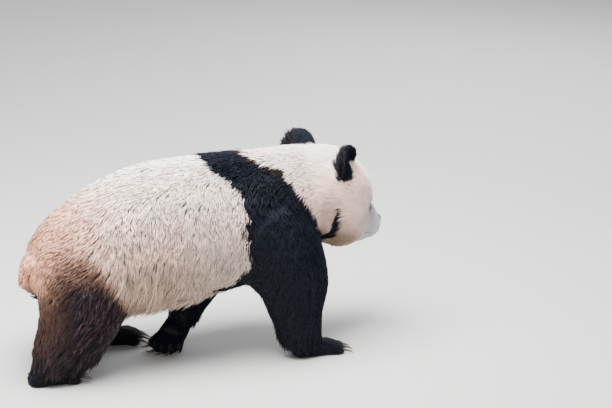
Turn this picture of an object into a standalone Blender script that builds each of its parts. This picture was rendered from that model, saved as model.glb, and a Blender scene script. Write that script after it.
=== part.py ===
"""A giant panda walking with its head lowered a little and turned to its left, at life size.

The frame is +X forward, +Y to the animal's left and +Z up, in metres, with the origin on the
floor under the middle of the whole animal. Every form is given over its coat, out to the tips of
the hair. The body is modelled whole, as rings and rounded masses melted into one, and is then
parted with thin cuts into the parts that a person would name. Ears, eyes, nose and claws are
pieces of their own, each seated in a socket.
"""

import math

import bmesh
import bpy
from mathutils import Euler, Matrix, Vector
from mathutils.bvhtree import BVHTree

# Driving dimensions, over the coat.
SHOULDER_HEIGHT = 0.742  # floor to the top of the back
TRUNK_LENGTH = 1.01  # rump to the root of the neck
TRUNK_WIDTH = 0.54
HEAD_WIDTH = 0.36  # across the cheeks
EAR_WIDTH = 0.136
EAR_THICKNESS = 0.062
EAR_HOLLOW = 0.030  # how far its front is dished
EAR_CURL = 0.024  # how far its sides come forward
EAR_SPLAY, EAR_LEAN = math.radians(58), math.radians(34)  # turned and leaning outwards
EYE_RADIUS = 0.0125
EYE_DEPTH = 0.003  # how far its front lies inside the coat
EYE_SPACING = 0.135
EYE_HEIGHT = 0.012  # above the head's middle, in its own frame
CLAW_LENGTH = 0.036

# Where the body stands and how it carries its head.
RUMP_X = -0.590
HEAD_CENTRE = Vector((0.566, 0.055, 0.521))
HEAD_TURN = math.radians(22)  # to its left
HEAD_NOD = math.radians(20)  # down

# How the solids are made and parted.
SEAM = 0.001  # width of every cut and clearance
RING_SIDES = 20
COARSE_VOXEL, FINE_VOXEL = 0.013, 0.008
COARSE_ROUNDS, FINE_ROUNDS = 18, 3  # smoothing passes after each melt
FIRST_THINNING, BODY_TRIANGLES = 4800, 3100
MIDLINE_GAP = 0.004  # how far a leg's cut stays from the middle of the body
LEG_SPARE_LOW, LEG_SPARE_HIGH = 0.040, 0.024  # how much wider than the leg its cut is
SPACE_VOXEL, SPACE_TRIANGLES = 0.018, 180  # for the spaces that legs are parted by

BLACK_COAT = ((0.018, 0.018, 0.024), 0.85)
CREAM_COAT = ((0.78, 0.68, 0.57), 0.9)
NOSE_LEATHER = ((0.02, 0.02, 0.02), 0.4)
EYE_DARK = ((0.02, 0.012, 0.008), 0.08)
CLAW_HORN = ((0.55, 0.47, 0.38), 0.45)


# --- Tools -----------------------------------------------------------------------------------


def clear_scene():
    for old in list(bpy.data.objects):
        bpy.data.objects.remove(old)


def coloured(name, colour_and_roughness):
    """A plain material of one colour."""
    colour, roughness = colour_and_roughness
    material = bpy.data.materials.get(name)
    if material is None:
        material = bpy.data.materials.new(name)
        material.use_nodes = True
        shader = material.node_tree.nodes["Principled BSDF"]
        shader.inputs["Base Color"].default_value = (*colour, 1)
        shader.inputs["Roughness"].default_value = roughness
    return material


def add_object(name, mesh, material=None, helper=False):
    piece = bpy.data.objects.new(name, mesh)
    bpy.context.scene.collection.objects.link(piece)
    if material:
        mesh.materials.clear()
        mesh.materials.append(coloured(*material))
    if helper:
        piece.hide_render = True
        piece.display_type = "WIRE"
    return piece


def to_mesh(name, form):
    """The bmesh as a mesh, with its faces pointing out."""
    bmesh.ops.recalc_face_normals(form, faces=form.faces)
    mesh = bpy.data.meshes.new(name)
    form.to_mesh(mesh)
    form.free()
    return mesh


def between(a, b, share):
    return a + (b - a) * share


def through(rows, steps):
    """Rows of numbers on a smooth curve through the given ones, with steps spans between each pair."""
    rows = [Vector(row) for row in rows]
    curve = []
    for i in range(len(rows) - 1):
        before, start = rows[max(i - 1, 0)], rows[i]
        end, after = rows[i + 1], rows[min(i + 2, len(rows) - 1)]
        for k in range(steps):
            t = k / steps
            bend_in = (end - before) * 0.5
            bend_out = (after - start) * 0.5
            curve.append(
                start * (2 * t**3 - 3 * t**2 + 1)
                + bend_in * (t**3 - 2 * t**2 + t)
                + end * (3 * t**2 - 2 * t**3)
                + bend_out * (t**3 - t**2)
            )
    curve.append(rows[-1])
    return curve


def add_loft(
    form, stations, place=Matrix(), low_heavy=0.0, steps=3, sides=RING_SIDES, dome=3
):
    """A closed tube through elliptic rings, with domed ends.

    A station is (x, y, z, half width across, half depth). A ring stands square to the path, with
    its width along Y. low_heavy widens the ring below its middle and narrows it above.
    """
    rings = through(stations, steps)
    centres = [Vector(ring[:3]) for ring in rings]
    made = []
    for i, ring in enumerate(rings):
        along = (centres[min(i + 1, len(rings) - 1)] - centres[max(i - 1, 0)]).normalized()
        across = Vector((0, 1, 0))
        across = (across - along * across.dot(along)).normalized()
        deep = along.cross(across)
        wide, thick = ring[3], ring[4]
        angles = [math.pi / 2 * k / (dome + 0.4) for k in range(1, dome + 1)]
        reach = 0.55 * min(wide, thick)
        caps = [(reach * math.sin(a), math.cos(a)) for a in angles]
        lifts = [(0.0, 1.0)]
        if i == 0:
            lifts = [(-lift, shrink) for lift, shrink in reversed(caps)] + lifts
        if i == len(rings) - 1:
            lifts = lifts + caps
        for lift, shrink in lifts:
            centre = centres[i] + along * lift
            corners = []
            for k in range(sides):
                a = 2 * math.pi * k / sides
                width = wide * math.cos(a) * (1 - low_heavy * math.sin(a))
                point = centre + (across * width + deep * thick * math.sin(a)) * shrink
                corners.append(form.verts.new(place @ point))
            made.append(corners)
    for lower, upper in zip(made, made[1:]):
        for k in range(sides):
            j = (k + 1) % sides
            form.faces.new((lower[k], lower[j], upper[j], upper[k]))
    form.faces.new(made[0])
    form.faces.new(made[-1])


def add_ball(form, centre, radii, place=Matrix(), turn=(0, 0, 0), fineness=3):
    """An ellipsoid."""
    shape = Matrix.LocRotScale(Vector(centre), Euler(turn), Vector(radii))
    bmesh.ops.create_icosphere(form, subdivisions=fineness, radius=1, matrix=place @ shape)


def melted(name, form, voxel, rounds):
    """One smooth closed skin round all the overlapping shapes in form."""
    lump = add_object(name, to_mesh(name, form), helper=True)
    remesh = lump.modifiers.new("melt", "REMESH")
    remesh.mode = "VOXEL"
    remesh.voxel_size = voxel
    smooth = lump.modifiers.new("smooth", "SMOOTH")
    smooth.factor = 0.5
    smooth.iterations = rounds
    return settled(lump)


def settled(lump):
    """The object's mesh with its modifiers worked in. The object itself goes."""
    graph = bpy.context.evaluated_depsgraph_get()
    mesh = bpy.data.meshes.new_from_object(lump.evaluated_get(graph))
    bpy.data.objects.remove(lump)
    return mesh


def cut(target, cutter_mesh, operation, solver="EXACT"):
    """Adds a Boolean with a hidden helper, and keeps the two together by name."""
    helper = add_object(f"cut_{target.name}_{len(target.modifiers)}", cutter_mesh, helper=True)
    boolean = target.modifiers.new(helper.name, "BOOLEAN")
    boolean.operation = operation
    boolean.object = helper
    boolean.solver = solver


def fattened(mesh, by):
    """A copy of a mesh with its surface moved outwards."""
    copy = mesh.copy()
    normals = [vertex.normal.copy() for vertex in copy.vertices]
    for vertex, normal in zip(copy.vertices, normals):
        vertex.co += normal * by
    return copy


# --- Forms of the body -----------------------------------------------------------------------

# Share of the trunk's length, height of the top and bottom as shares of the shoulder's height,
# half width as a share of half the trunk's width, and how far the axis swings to the left.
TRUNK_STATIONS = (
    (0.030, 0.580, 0.430, 0.30, 0.000),
    (0.065, 0.655, 0.350, 0.60, 0.000),
    (0.125, 0.722, 0.300, 0.80, 0.000),
    (0.210, 0.800, 0.270, 0.91, 0.000),
    (0.330, 0.900, 0.258, 0.97, 0.000),
    (0.480, 0.972, 0.265, 1.00, 0.000),
    (0.630, 0.988, 0.288, 0.97, 0.000),
    (0.770, 0.992, 0.330, 0.92, 0.000),
    (0.880, 0.998, 0.385, 0.83, 0.000),
    (0.970, 1.000, 0.460, 0.71, 0.010),
    (1.050, 0.990, 0.540, 0.62, 0.025),
    (1.120, 0.950, 0.600, 0.54, 0.045),
)

# Leg stations are (x, y, z, half width, half depth), for a leg on the animal's left.
FORELEG_TOP = ((0.265, 0.135, 0.520, 0.090, 0.150), (0.318, 0.150, 0.400, 0.108, 0.162))
NEAR_FORELEG = (
    (0.370, 0.160, 0.280, 0.098, 0.140),
    (0.374, 0.165, 0.200, 0.086, 0.118),
    (0.390, 0.163, 0.120, 0.076, 0.092),
    (0.405, 0.162, 0.055, 0.066, 0.074),
)
FAR_FORELEG = (
    (0.210, 0.165, 0.320, 0.096, 0.118),
    (0.125, 0.140, 0.235, 0.084, 0.094),
    (0.060, 0.098, 0.165, 0.074, 0.078),
    (0.018, 0.072, 0.120, 0.064, 0.062),
)
HINDLEG_TOP = ((-0.385, 0.120, 0.450, 0.100, 0.175),)
NEAR_HINDLEG = (
    (-0.395, 0.150, 0.360, 0.118, 0.180),
    (-0.405, 0.172, 0.270, 0.108, 0.168),
    (-0.435, 0.170, 0.190, 0.090, 0.150),
    (-0.485, 0.162, 0.120, 0.078, 0.118),
    (-0.522, 0.155, 0.060, 0.068, 0.088),
)
FAR_HINDLEG = (
    (-0.345, 0.150, 0.360, 0.118, 0.175),
    (-0.285, 0.172, 0.270, 0.108, 0.142),
    (-0.268, 0.172, 0.180, 0.088, 0.108),
    (-0.266, 0.170, 0.110, 0.076, 0.086),
    (-0.262, 0.170, 0.055, 0.066, 0.074),
)
TAIL_STATIONS = (
    (-0.505, 0.0, 0.420, 0.050, 0.045),
    (-0.552, 0.0, 0.370, 0.058, 0.040),
    (-0.572, 0.0, 0.305, 0.050, 0.034),
)


class Paw:
    """A paw on the floor or bent back at the wrist. Its own frame has +X out along the toes."""

    TOES = 5

    def __init__(self, place, length, width, height, curl=0.24):
        self.place, self.length, self.width, self.height = place, length, width, height
        self.curl = curl

    def toe(self, number):
        """Centre and heading of a toe, counted from the animal's right."""
        spread = (number - (self.TOES - 1) / 2) / ((self.TOES - 1) / 2)
        arc = self.length * (0.40 - 0.09 * spread**2)
        return Vector((arc, self.width * 0.40 * spread, self.height * 0.40)), 0.30 * spread

    def add_to(self, form):
        """The palm and the toes."""
        half = self.width / 2
        back, middle, front = -self.length * 0.36, 0.0, self.length * 0.26
        stations = (
            (back, 0, self.height * 0.54, half * 0.68, self.height * 0.52),
            (middle, 0, self.height * 0.52, half * 0.86, self.height * 0.52),
            (front, 0, self.height * 0.42, half * 0.92, self.height * 0.42),
        )
        add_loft(form, stations, self.place)
        for number in range(self.TOES):
            centre, heading = self.toe(number)
            radii = (self.length * 0.16, half * 0.25, self.height * 0.40)
            add_ball(form, centre, radii, self.place, (0, 0, heading), 2)

    def claw(self, number):
        """A curved tapering claw, rooted in its toe."""
        centre, heading = self.toe(number)
        root = centre + Matrix.Rotation(heading, 3, "Z") @ Vector((self.length * 0.10, 0, 0))
        droop = self.height * self.curl
        form = bmesh.new()
        stations = []
        for share in (0.0, 0.5, 1.0):
            thick = 0.0056 * (1 - share) ** 0.8 + 0.0009
            stations.append((CLAW_LENGTH * share, 0, -droop * share**2, thick * 0.8, thick))
        place = self.place @ Matrix.Translation(root) @ Matrix.Rotation(heading, 4, "Z")
        add_loft(form, stations, place, steps=1, sides=6, dome=1)
        return to_mesh("claw", form)

    def box(self, grow):
        """The space that the paw is parted from its leg by."""
        back = -self.length * (0.64 if self.stands() else 0.36)
        size = Vector((self.length * 1.26, self.width * 1.24, self.height * 1.9))
        corner = Matrix.Translation((back - grow, 0, self.height * 0.21))
        return block(self.place @ corner, size + Vector((2, 2, 2)) * grow)

    def stands(self):
        return self.place.to_3x3().col[2].z > 0


def standing(x, y, turn, lift=0.0):
    """The place of a paw flat on the floor, its toes turned by an angle to the left."""
    return Matrix.Translation((x, y, lift)) @ Matrix.Rotation(turn, 4, "Z")


def folded_back(centre, fold, turn):
    """The place of a paw bent back at the wrist, with its palm up and its toes behind."""
    return Matrix.Translation(centre) @ Euler((0, fold, turn)).to_matrix().to_4x4()


FOOT_SINK = -0.006  # how far a standing paw is sunk, so that the floor cuts it a flat sole
PAWS = {
    "forepaw_right": Paw(
        standing(0.452, -0.152, math.radians(10), FOOT_SINK), 0.205, 0.134, 0.052
    ),
    "forepaw_left": Paw(
        folded_back((-0.026, 0.045, 0.087), math.radians(143), math.radians(40)),
        0.195, 0.140, 0.062, curl=0.64,
    ),
    "hindpaw_right": Paw(
        standing(-0.514, -0.150, math.radians(8), FOOT_SINK), 0.205, 0.132, 0.060
    ),
    "hindpaw_left": Paw(
        standing(-0.212, 0.170, math.radians(-2), FOOT_SINK), 0.210, 0.130, 0.072
    ),
}
LEGS = {
    "foreleg_right": (FORELEG_TOP + NEAR_FORELEG, -1),
    "foreleg_left": (FORELEG_TOP + FAR_FORELEG, 1),
    "hindleg_right": (HINDLEG_TOP + NEAR_HINDLEG, -1),
    "hindleg_left": (HINDLEG_TOP + FAR_HINDLEG, 1),
}
HEAD_PLACE = (
    Matrix.Translation(HEAD_CENTRE)
    @ Matrix.Rotation(HEAD_TURN, 4, "Z")
    @ Matrix.Rotation(HEAD_NOD, 4, "Y")
)


def on_side(stations, side):
    return [(x, y * side, z, wide, deep) for x, y, z, wide, deep in stations]


def add_trunk(form):
    stations = []
    for along, top, bottom, width, swing in TRUNK_STATIONS:
        high, low = top * SHOULDER_HEIGHT, bottom * SHOULDER_HEIGHT
        x = RUMP_X + along * TRUNK_LENGTH
        stations.append((x, swing, (high + low) / 2, width * TRUNK_WIDTH / 2, (high - low) / 2))
    add_loft(form, stations, low_heavy=0.10)


def add_head(form):
    """The skull's mass and the cheeks, in the head's own frame."""
    half = HEAD_WIDTH / 2
    add_ball(form, (-0.030, 0, 0.030), (0.165, half * 0.90, 0.150), HEAD_PLACE)
    add_ball(form, (0.050, 0, 0.018), (0.125, half * 0.74, 0.125), HEAD_PLACE)
    for side in (-1, 1):
        cheek = (0.010, side * half * 0.42, -0.062)
        add_ball(form, cheek, (0.125, half * 0.58, 0.118), HEAD_PLACE)


def add_face(form):
    """The muzzle, its bridge and the chin."""
    half = HEAD_WIDTH / 2
    muzzle = (
        (0.070, 0, -0.030, half * 0.58, 0.095),
        (0.150, 0, -0.052, half * 0.45, 0.080),
        (0.205, 0, -0.072, half * 0.38, 0.066),
        (0.238, 0, -0.078, half * 0.32, 0.052),
    )
    add_loft(form, muzzle, HEAD_PLACE)
    chin = ((0.060, 0, -0.104, half * 0.46, 0.060), (0.200, 0, -0.114, half * 0.27, 0.034))
    add_loft(form, chin, HEAD_PLACE)


def thinned(body, triangles, plain=None):
    """Fewer triangles, taken only from where plain says that the form is plain, if it is given."""
    lump = add_object("thinned", body, helper=True)
    now = sum(len(face.vertices) - 2 for face in body.polygons)
    fewer = lump.modifiers.new("fewer", "DECIMATE")
    fewer.ratio = triangles / now
    if plain:
        group = lump.vertex_groups.new(name="plain")
        chosen = [vertex.index for vertex in body.vertices if plain(vertex.co)]
        group.add(chosen, 1.0, "REPLACE")
        fewer.vertex_group = group.name
    return settled(lump)


def is_plain(point):
    """True away from the head and the paws."""
    near_head = (point - HEAD_CENTRE).length < 0.30 and point.x > 0.46
    return not near_head and point.z > 0.09


def on_floor(body):
    """The body with all that is under the floor cut off, which leaves a flat sole on each paw."""
    form = bmesh.new()
    form.from_mesh(body)
    everything = form.verts[:] + form.edges[:] + form.faces[:]
    sliced = bmesh.ops.bisect_plane(
        form, geom=everything, plane_co=(0, 0, 0), plane_no=(0, 0, -1), clear_outer=True
    )
    rim = [edge for edge in sliced["geom_cut"] if isinstance(edge, bmesh.types.BMEdge)]
    bmesh.ops.holes_fill(form, edges=rim, sides=0)
    return to_mesh("body", form)


def whole_body():
    """Trunk, neck, head, legs, paws and tail as one mesh."""
    masses = bmesh.new()
    add_trunk(masses)
    add_head(masses)
    add_loft(masses, TAIL_STATIONS)
    for stations, side in LEGS.values():
        add_loft(masses, on_side(stations, side))
    details = bmesh.new()
    details.from_mesh(melted("masses", masses, COARSE_VOXEL, COARSE_ROUNDS))
    add_face(details)
    for paw in PAWS.values():
        paw.add_to(details)
    body = melted("body", details, FINE_VOXEL, FINE_ROUNDS)
    return on_floor(thinned(thinned(body, FIRST_THINNING), BODY_TRIANGLES, is_plain))


# --- Set-in pieces ---------------------------------------------------------------------------


def surface_point(body, start, heading):
    """Where a line from outside, in the head's frame, meets the coat, in that frame."""
    tree = BVHTree.FromPolygons(
        [vertex.co for vertex in body.vertices], [face.vertices for face in body.polygons]
    )
    turn = HEAD_PLACE.to_3x3()
    hit = tree.ray_cast(HEAD_PLACE @ Vector(start), turn @ Vector(heading))[0]
    return HEAD_PLACE.inverted() @ hit


def ear(side):
    """A round thick ear, hollow in front, leaning out from the top of the head."""
    form = bmesh.new()
    half, tall, thick = EAR_WIDTH / 2, EAR_WIDTH * 0.58, EAR_THICKNESS / 2
    add_ball(form, (0, 0, 0), (thick, half, tall), fineness=2)
    for vertex in form.verts:
        off_centre = (vertex.co.y / half) ** 2 + (vertex.co.z / tall) ** 2
        if vertex.co.x > 0:
            vertex.co.x -= EAR_HOLLOW * max(0.0, 1 - off_centre)
        vertex.co.x += EAR_CURL * (vertex.co.y / half) ** 2
    lean = Euler((-side * EAR_LEAN, 0, side * EAR_SPLAY))
    place = Matrix.Translation((-0.075, side * HEAD_WIDTH * 0.35, 0.134))
    form.transform(HEAD_PLACE @ place @ lean.to_matrix().to_4x4())
    return to_mesh("ear", form)


def eye(body, side):
    """An eyeball, and the dish in the coat that it looks out of, as two meshes."""
    front = surface_point(body, (0.5, side * EYE_SPACING / 2, EYE_HEIGHT), (-1, 0, 0))
    ball, dish = bmesh.new(), bmesh.new()
    centre = front - Vector((EYE_RADIUS + EYE_DEPTH, 0, 0))
    add_ball(ball, centre, [EYE_RADIUS] * 3, HEAD_PLACE, fineness=2)
    add_ball(dish, front, (0.010, 0.020, 0.015), HEAD_PLACE, fineness=1)
    return to_mesh("eye", ball), to_mesh("dish", dish)


def nose(body):
    """The nose leather, broad above, with two nostrils, and the nostrils' cutter."""
    front = surface_point(body, (0.5, 0, -0.050), (-1, 0, 0))
    leather, nostrils = bmesh.new(), bmesh.new()
    centre = front - Vector((0.010, 0, 0.002))
    add_ball(leather, centre, (0.020, 0.033, 0.022), HEAD_PLACE, fineness=2)
    down = HEAD_PLACE.to_3x3() @ Vector((0, 0, -1))
    middle = HEAD_PLACE @ centre
    for vertex in leather.verts:
        drop = (vertex.co - middle).dot(down)
        if drop > 0:
            vertex.co = vertex.co.lerp(middle + down * drop, 18 * drop)
    for side in (-1, 1):
        hole = centre + Vector((0.018, side * 0.015, 0.001))
        add_ball(nostrils, hole, (0.009, 0.007, 0.004), HEAD_PLACE, (side * 0.5, 0, 0), 1)
    return to_mesh("nose", leather), to_mesh("nostrils", nostrils)


# --- Parting the body ------------------------------------------------------------------------


def block(place, size):
    """A box with place at the middle of its back face, reaching out along +X."""
    form = bmesh.new()
    shape = Matrix.Translation((size[0] / 2, 0, 0)) @ Matrix.Diagonal((*size, 1))
    bmesh.ops.create_cube(form, size=1, matrix=place @ shape)
    return to_mesh("block", form)


def smooth_space(form):
    """The form as one plain closed shape that doesn't pass through itself, for a cut."""
    return thinned(melted("space", form, SPACE_VOXEL, 6), SPACE_TRIANGLES)


def leg_space(name, grow):
    """The space that a leg is parted from the trunk by: its own form, wider towards the paw."""
    stations, side = LEGS[name]
    low, high = min(row[2] for row in stations), max(row[2] for row in stations)
    spaced = []
    for x, y, z, wide, deep in on_side(stations, side):
        spare = between(LEG_SPARE_LOW, LEG_SPARE_HIGH, (z - low) / (high - low))
        spaced.append((x, y, z, wide + spare, deep + spare))
    last = Vector(spaced[-1][:3]) + (Vector(spaced[-1][:3]) - Vector(spaced[-2][:3])) * 1.2
    spaced.append((*last, *spaced[-1][3:]))
    form = bmesh.new()
    add_loft(form, spaced)
    space = smooth_space(form)
    for vertex in space.vertices:
        vertex.co.y = side * max(side * vertex.co.y, MIDLINE_GAP)
    return fattened(space, grow)


def tail_space(grow):
    """A box round the tail, its front face leaning back as the rump does."""
    lean = Euler((0, math.radians(11), math.pi)).to_matrix().to_4x4()
    place = Matrix.Translation((-0.528, 0, 0.372)) @ lean @ Matrix.Translation((-grow, 0, 0))
    return block(place, Vector((0.200, 0.232, 0.190)) + Vector((2, 2, 2)) * grow)


def neck_side(point, turn, tilt, reach, height):
    """Makes the space in front of a plane across the neck, tilted back at its top."""

    def space(grow):
        place = (
            Matrix.Translation(point)
            @ Matrix.Rotation(turn, 4, "Z")
            @ Matrix.Rotation(-tilt, 4, "Y")
            @ Matrix.Translation((-grow, 0, 0))
        )
        return block(place, (reach, 0.7, height))

    return space


HEAD_SPACE = neck_side((0.452, 0.02, 0.60), math.radians(8), 0.0, 0.6, 0.62)
NECK_SPACE = neck_side((0.352, 0.0, 0.60), math.radians(3), math.radians(14), 0.4, 0.75)


def parted(body, name, keep, leave_out, material):
    """One part of the body: what lies in keep, if given, and in none of the spaces in leave_out."""
    part = add_object(name, body.copy(), material)
    if keep:
        cut(part, keep(0.0), "INTERSECT", "MANIFOLD")
    for space in leave_out:
        cut(part, space(SEAM), "DIFFERENCE", "MANIFOLD")
    return part


def seat(host, piece_mesh):
    """Cuts a socket in host for a piece that is set into it."""
    cut(host, fattened(piece_mesh, SEAM), "DIFFERENCE")


def centre_on_floor():
    """Moves everything so that the origin is on the floor under the middle of the animal."""
    bpy.context.view_layer.update()
    graph = bpy.context.evaluated_depsgraph_get()
    corners = []
    for piece in bpy.context.scene.objects:
        if not piece.hide_render:
            corners += [Vector(corner) for corner in piece.evaluated_get(graph).bound_box]
    middle = [(min(c[i] for c in corners) + max(c[i] for c in corners)) / 2 for i in (0, 1)]
    for piece in bpy.context.scene.objects:
        piece.location = (-middle[0], -middle[1], 0)


def main():
    clear_scene()
    body = whole_body()
    black, cream = ("black_coat", BLACK_COAT), ("cream_coat", CREAM_COAT)

    def leg_region(name):
        return lambda grow: leg_space(name, grow)

    legs = {name: leg_region(name) for name in LEGS}
    paws = {name: paw.box for name, paw in PAWS.items()}
    fore = [legs["foreleg_right"], legs["foreleg_left"]]
    limbs = list(legs.values()) + list(paws.values())

    head = parted(body, "head", HEAD_SPACE, fore, cream)
    parted(body, "neck", NECK_SPACE, [HEAD_SPACE] + fore, cream)
    parted(body, "tail", tail_space, [], cream)
    parted(body, "trunk", None, [HEAD_SPACE, NECK_SPACE, tail_space] + limbs, cream)
    for name, space in legs.items():
        beside = [paws[name.replace("leg", "paw")]]
        if name.startswith("hind"):
            beside.append(tail_space)
        if name.endswith("left"):
            beside.append(legs[name.replace("left", "right")])
        parted(body, name, space, beside, black)
    for name, space in paws.items():
        paw = parted(body, name, space, [], black)
        for number in range(Paw.TOES):
            mesh = PAWS[name].claw(number)
            add_object(f"claw_{name}_{number + 1}", mesh, ("claw_horn", CLAW_HORN))
            seat(paw, mesh)
    for side, word in ((-1, "right"), (1, "left")):
        ear_mesh = ear(side)
        add_object(f"ear_{word}", ear_mesh, black)
        seat(head, ear_mesh)
        eye_mesh, dish = eye(body, side)
        add_object(f"eye_{word}", eye_mesh, ("eye", EYE_DARK))
        cut(head, dish, "DIFFERENCE")
        seat(head, eye_mesh)
    nose_mesh, nostrils = nose(body)
    nose_piece = add_object("nose", nose_mesh, ("nose_leather", NOSE_LEATHER))
    seat(head, nose_mesh)
    cut(nose_piece, nostrils, "DIFFERENCE")
    centre_on_floor()


main()
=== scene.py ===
"""The looks of a giant panda, walking, at life size, as a museum shows it.

One skin without a seam covers the whole body, and solid tufts of hair stand on it and lie over
each other as the coat does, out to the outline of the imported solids. Eyes, lids, nose leather,
lips, whiskers and claws are pieces of their own. The frame is +X forward, +Y to the animal's left
and +Z up, in metres.
"""

from collections import namedtuple
from math import cos, pi, radians, sin, sqrt

import bmesh
import bpy
import numpy as np
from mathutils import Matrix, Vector, noise
from mathutils.bvhtree import BVHTree
from mathutils.kdtree import KDTree


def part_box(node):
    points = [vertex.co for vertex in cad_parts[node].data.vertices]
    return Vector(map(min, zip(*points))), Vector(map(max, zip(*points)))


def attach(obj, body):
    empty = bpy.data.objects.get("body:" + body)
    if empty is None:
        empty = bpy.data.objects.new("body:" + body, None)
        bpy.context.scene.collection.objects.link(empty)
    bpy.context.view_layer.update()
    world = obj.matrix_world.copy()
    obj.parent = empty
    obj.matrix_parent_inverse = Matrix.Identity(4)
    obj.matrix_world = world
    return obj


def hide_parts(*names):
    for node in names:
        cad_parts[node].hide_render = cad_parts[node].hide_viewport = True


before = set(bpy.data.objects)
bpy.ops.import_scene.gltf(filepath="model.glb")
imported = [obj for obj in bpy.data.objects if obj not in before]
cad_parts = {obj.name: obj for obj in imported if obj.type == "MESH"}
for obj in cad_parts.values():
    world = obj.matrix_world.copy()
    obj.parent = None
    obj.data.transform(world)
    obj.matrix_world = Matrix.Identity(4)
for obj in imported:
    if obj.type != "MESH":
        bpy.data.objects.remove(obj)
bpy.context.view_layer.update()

# --- The body's form ---
# The outline of the whole animal over its coat: trunk, head, legs, paws, ears and tail as one
# form, closed over the cuts between them. The skin is drawn inside it, and the coat ends on it.

SEAM_FILL = 0.0012  # each part is let out by this much, so that the cuts close
FORM_GRAIN = 0.0058  # size of the form's triangles
NOSE_REACH, EYE_REACH = 0.085, 0.030  # how near to the nose and the eyes the form is finer
FIRM_ROUNDS = 4  # passes that ease the form everywhere
EASE_ROUNDS = 70  # passes that take the flats out of the form where the coat is long


def unit(vectors):
    """The vectors at a length of one."""
    return vectors / np.maximum(np.linalg.norm(vectors, axis=-1, keepdims=True), 1e-9)


def ease(value, start, end):
    """0 before start, 1 after end, and a smooth rise between."""
    share = np.clip((value - start) / (end - start), 0, 1)
    return share * share * (3 - 2 * share)


def blend(a, b, share):
    return a + (b - a) * share


def as_mesh(form, name):
    """A worked form as a mesh of its own."""
    mesh = bpy.data.meshes.new(name)
    form.to_mesh(mesh)
    form.free()
    return mesh


def linked(name, data):
    """A new object in the scene."""
    made = bpy.data.objects.new(name, data)
    bpy.context.scene.collection.objects.link(made)
    return made


def gathered(surfaces):
    """Several surfaces, each given as points and faces, as one."""
    points, faces = [], []
    for own_points, own_faces in surfaces:
        shift = sum(len(done) for done in points)
        points.append(own_points)
        faces += [tuple(k + shift for k in face) for face in own_faces]
    return np.concatenate(points), faces


def point_tree(points):
    """The points, sorted so that the nearest to a place is found fast."""
    tree = KDTree(len(points))
    for i, place in enumerate(points.tolist()):
        tree.insert(place, i)
    tree.balance()
    return tree


def as_arrays(mesh):
    """A mesh's points and the corners of its triangles."""
    mesh.calc_loop_triangles()
    points = np.array([vertex.co for vertex in mesh.vertices])
    return points, np.array([face.vertices for face in mesh.loop_triangles])


def welded(name):
    """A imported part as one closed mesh, let out to close the cuts."""
    form = bmesh.new()
    form.from_mesh(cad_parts[name].data)
    bmesh.ops.remove_doubles(form, verts=form.verts, dist=1e-5)
    form.normal_update()
    for vertex in form.verts:
        vertex.co += vertex.normal * SEAM_FILL
    return as_mesh(form, name)


def middle(name):
    low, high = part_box(name)
    return (np.array(low) + np.array(high)) / 2


FLESH = sorted(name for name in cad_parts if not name.startswith(("claw", "eye", "nose")))
EYE_NAMES = ["eye_left", "eye_right"]

whole = bmesh.new()
surfaces, face_owner = [], []
for name in FLESH + EYE_NAMES + ["nose"]:  # the eyes and the nose fill their sockets in the form
    part = welded(name)
    whole.from_mesh(part)
    points, corners = as_arrays(part)
    surfaces.append((points, corners.tolist()))
    face_owner += [FLESH.index(name if name in FLESH else "head")] * len(corners)

block = linked("form", as_mesh(whole, "form"))
remesh = block.modifiers.new("close", "REMESH")
remesh.mode = "VOXEL"
remesh.voxel_size = FORM_GRAIN
graph = bpy.context.evaluated_depsgraph_get()
form = bmesh.new()
form.from_mesh(bpy.data.meshes.new_from_object(block.evaluated_get(graph)))
bpy.data.objects.remove(block)
bmesh.ops.triangulate(form, faces=form.faces)
finer = [("nose", NOSE_REACH)]
for name in EYE_NAMES:
    finer += [(name, EYE_REACH), (name, EYE_REACH * 0.8)]
for name, reach in finer:
    centre = Vector(middle(name))
    edges = [e for e in form.edges if (e.verts[0].co - centre).length < reach]
    bmesh.ops.subdivide_edges(form, edges=edges, cuts=1, use_grid_fill=True, smooth=0.0)
bmesh.ops.triangulate(form, faces=form.faces)


class Hide:
    """A closed surface of triangles, as arrays."""

    def __init__(self, points, corners):
        self.points, self.corners = points, corners
        sides = np.concatenate([corners[:, [0, 1]], corners[:, [1, 2]], corners[:, [2, 0]]])
        self.ends = np.unique(np.sort(sides, axis=1), axis=0).T
        self.neighbours = np.bincount(self.ends.ravel(), minlength=len(points))

    def settle(self, values, rounds, pull=0.5):
        """Values on the points, drawn again and again towards the mean of their neighbours'."""
        values = np.array(values, dtype=float)
        columns = values.reshape(len(values), -1)
        a, b = self.ends
        for _ in range(rounds):
            for i in range(columns.shape[1]):
                column = columns[:, i]
                total = np.bincount(a, column[b], len(column))
                total += np.bincount(b, column[a], len(column))
                columns[:, i] = blend(column, total / self.neighbours, pull)
        return columns.reshape(values.shape)

    def face_normals(self):
        a, b, c = (self.points[self.corners[:, i]] for i in range(3))
        return np.cross(b - a, c - a) / 2

    def normals(self):
        across = self.face_normals()
        total = np.zeros_like(self.points)
        for i in range(3):
            for axis in range(3):
                total[:, axis] += np.bincount(self.corners[:, i], across[:, axis], len(total))
        return unit(total)

    def tree(self):
        return BVHTree.FromPolygons(self.points.tolist(), self.corners.tolist())


outline = Hide(*as_arrays(as_mesh(form, "form")))
points, faces = gathered(surfaces)
parts_tree = BVHTree.FromPolygons(points.tolist(), faces)
owner = np.array(face_owner)[[parts_tree.find_nearest(p)[2] for p in outline.points.tolist()]]
share_of_part = outline.settle(np.eye(len(FLESH))[owner], 9)


def share(*names, parts=share_of_part):
    """How much each point belongs to the parts whose names start so, from 0 to 1."""
    return sum(parts[:, i] for i, name in enumerate(FLESH) if name.startswith(names))


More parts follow.
